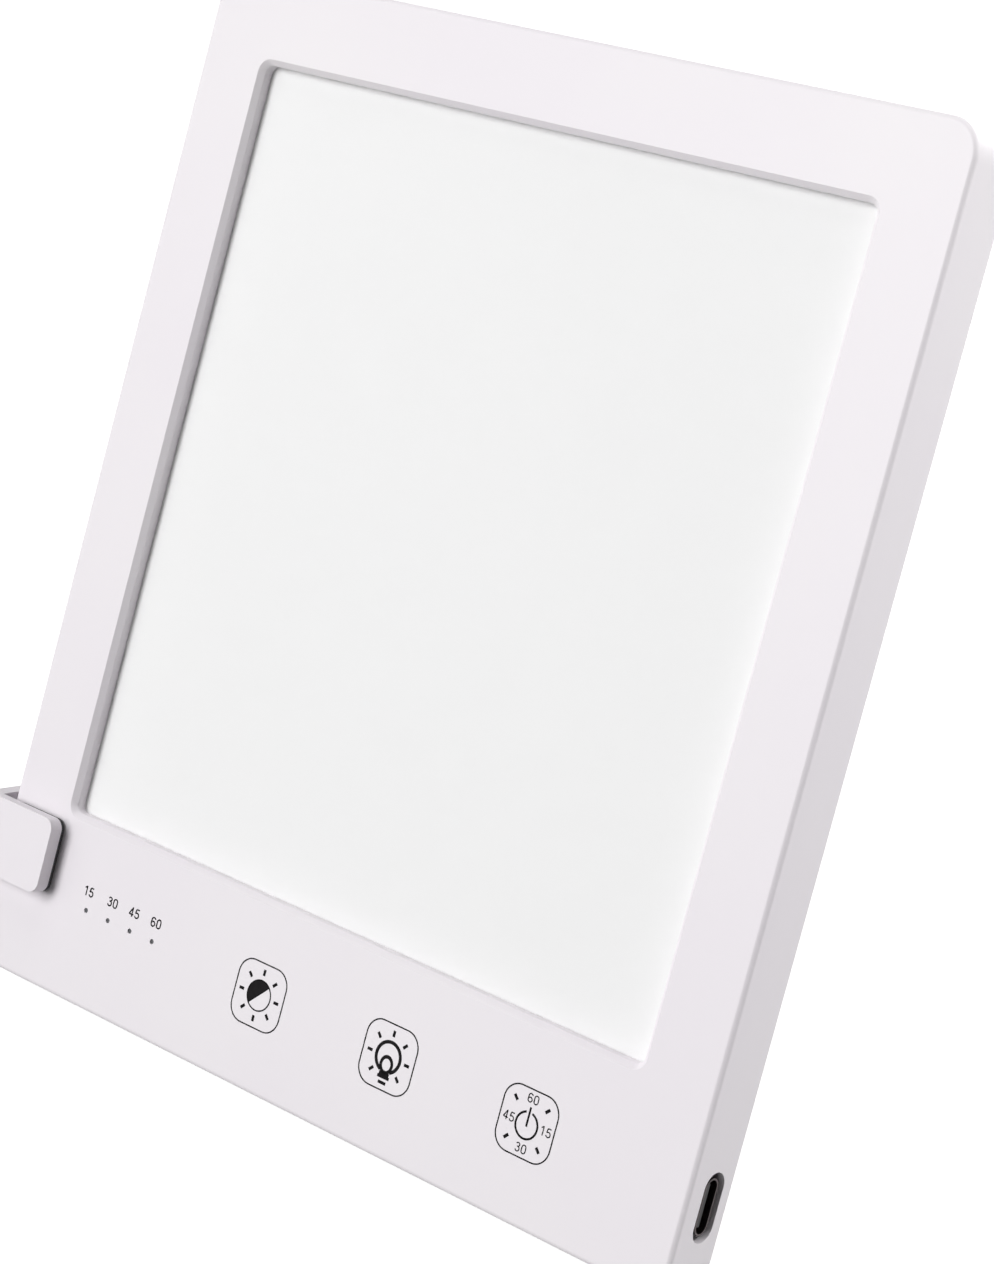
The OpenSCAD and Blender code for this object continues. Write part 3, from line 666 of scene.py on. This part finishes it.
for draw, x in zip((dimmerKey, lampKey, timerKey), marks["keyX"]):
    piece = draw(x, marks["keyY"])
    print("printed", piece.name, len(piece.data.polygons))
print("printed", indicatorNumbers().name)


# Gold contacts on both faces of the inlet's tongue
contacts = {"count": 12, "pitch": 0.5, "width": 0.26, "length": 3.6, "thick": 0.03,
            "x": 71.4, "y": 13.8, "z": 5.2, "tongue": 0.35}  # tongue: half its thickness


def inletContacts():
    bm = bmesh.new()
    for face in (-1, 1):
        for i in range(contacts["count"]):
            made = bmesh.ops.create_cube(bm, size=1)["verts"]
            bmesh.ops.scale(bm, vec=(contacts["length"], contacts["width"], contacts["thick"]), verts=made)
            y = contacts["y"] + (i - (contacts["count"] - 1) / 2) * contacts["pitch"]
            z = contacts["z"] + face * (contacts["tongue"] + contacts["thick"] / 2)
            bmesh.ops.translate(bm, vec=(contacts["x"], y, z), verts=made)
    bmesh.ops.transform(bm, matrix=panelPlace, verts=bm.verts)
    return keepPiece(bm, "inlet_contacts", "panel", "gold")


inletContacts()
print("inlet contacts made")


# Paper that takes a shadow, and is lifted towards white for the camera, in reflections and through glass
def plainBackdrop(name, shade, lift):
    material = bpy.data.materials.new(name)
    material.use_nodes = True
    tree = material.node_tree
    tree.nodes.clear()
    path = addNode(tree, "ShaderNodeLightPath")
    seen = addNode(tree, "ShaderNodeMath", {"operation": "ADD"}, {
        0: path.outputs["Is Camera Ray"], 1: path.outputs["Is Glossy Ray"]})
    seen = addNode(tree, "ShaderNodeMath", {"operation": "ADD"}, {
        0: seen.outputs[0], 1: path.outputs["Is Transmission Ray"]})
    strength = addNode(tree, "ShaderNodeMath", {"operation": "MULTIPLY", "use_clamp": True}, {
        0: seen.outputs[0], 1: lift})
    paint = addNode(tree, "ShaderNodeBsdfDiffuse", links={"Color": hexColour(shade)})
    glow = addNode(tree, "ShaderNodeEmission", links={"Color": (1, 1, 1, 1), "Strength": strength.outputs[0]})
    both = addNode(tree, "ShaderNodeAddShader", links={0: paint.outputs[0], 1: glow.outputs[0]})
    addNode(tree, "ShaderNodeOutputMaterial", links={"Surface": both.outputs[0]})
    return material


studio = {"floorSize": 12.0, "floorParts": 4, "floorShade": "#9a9a9a", "floorLift": 0.88, "ambient": 0.03}


def layFloor():
    bm = bmesh.new()
    parts = studio["floorParts"]
    bmesh.ops.create_grid(bm, x_segments=parts, y_segments=parts, size=studio["floorSize"] / 2)
    mesh = bpy.data.meshes.new("studio_floor")
    bm.to_mesh(mesh)
    bm.free()
    mesh.materials.append(plainBackdrop("studio_paper", studio["floorShade"], studio["floorLift"]))
    floor = bpy.data.objects.new("studio_floor", mesh)
    bpy.context.scene.collection.objects.link(floor)


# White to look at, and only a faint light on the lamp
def lightWorld():
    world = bpy.data.worlds.new("studio_air")
    bpy.context.scene.world = world
    world.use_nodes = True
    tree = world.node_tree
    tree.nodes.clear()
    path = addNode(tree, "ShaderNodeLightPath")
    seen = addNode(tree, "ShaderNodeMath", {"operation": "ADD", "use_clamp": True}, {
        0: path.outputs["Is Camera Ray"], 1: path.outputs["Is Transmission Ray"]})
    seen = addNode(tree, "ShaderNodeMath", {"operation": "MAXIMUM"}, {
        0: seen.outputs[0], 1: path.outputs["Is Glossy Ray"]})
    dim = addNode(tree, "ShaderNodeBackground", links={"Color": (1, 1, 1, 1), "Strength": studio["ambient"]})
    bright = addNode(tree, "ShaderNodeBackground", links={"Color": (1, 1, 1, 1), "Strength": 1.0})
    mixed = addNode(tree, "ShaderNodeMixShader", links={
        0: seen.outputs[0], 1: dim.outputs[0], 2: bright.outputs[0]})
    addNode(tree, "ShaderNodeOutputWorld", links={"Surface": mixed.outputs[0]})


# Soft boxes, by the direction from the panel in which each hangs (right, up the face, out of the face)
softBoxes = {
    "left_box": {"towards": (-0.75, 0.10, 0.62), "away": 3.0, "wide": 1.8, "tall": 2.4, "watts": 11.0},
    "front_box": {"towards": (-0.36, 0.18, 0.92), "away": 3.5, "wide": 1.4, "tall": 2.4, "watts": 104.0},
    "right_back_box": {"towards": (0.78, 0.55, -0.28), "away": 0.8, "wide": 0.4, "tall": 0.6, "watts": 5.3},
    "top_box": {"towards": (-0.1, 0.92, 0.35), "away": 1.2, "wide": 0.7, "tall": 0.7, "watts": 2.6},
    "back_box": {"towards": (-0.1, 0.40, -0.90), "away": 2.5, "wide": 1.4, "tall": 1.2, "watts": 30.0},
}


def hangLights():
    middle = panelTurn @ (Vector((0, panel["windowMiddle"], panel["front"])) * mm)
    for name, box in softBoxes.items():
        lamp = bpy.data.lights.new(name, "AREA")
        lamp.shape = "RECTANGLE"
        lamp.size = box["wide"]
        lamp.size_y = box["tall"]
        lamp.energy = box["watts"]
        towards = (panelTurn.to_3x3() @ Vector(box["towards"])).normalized()
        hung = bpy.data.objects.new(name, lamp)
        aim = towards.to_track_quat("Z", "Y").to_matrix().to_4x4()
        hung.matrix_world = Matrix.Translation(middle + towards * box["away"]) @ aim
        bpy.context.scene.collection.objects.link(hung)


# The photograph's camera, in millimetres round the lying panel
view = {"eye": (304.4, 138.5, 399.9), "back": (0.6030, 0.0861, 0.7930), "lens": 90.38,
        "shiftX": 0.0093, "shiftY": -0.0701, "sensor": 36, "near": 0.01}


def setCamera():
    camera = bpy.data.cameras.new("camera")
    camera.sensor_width = view["sensor"]
    camera.sensor_fit = "AUTO"
    camera.lens = view["lens"]
    camera.shift_x = view["shiftX"]
    camera.shift_y = view["shiftY"]
    camera.clip_start = view["near"]
    holder = bpy.data.objects.new("camera", camera)
    back = panelTurn.to_3x3() @ Vector(view["back"])
    eye = panelTurn @ (Vector(view["eye"]) * mm)
    holder.matrix_world = Matrix.Translation(eye) @ back.to_track_quat("Z", "Y").to_matrix().to_4x4()
    bpy.context.scene.collection.objects.link(holder)
    bpy.context.scene.camera = holder


layFloor()
lightWorld()
hangLights()
setCamera()
bpy.context.scene.view_settings.view_transform = "Standard"
print("studio set")
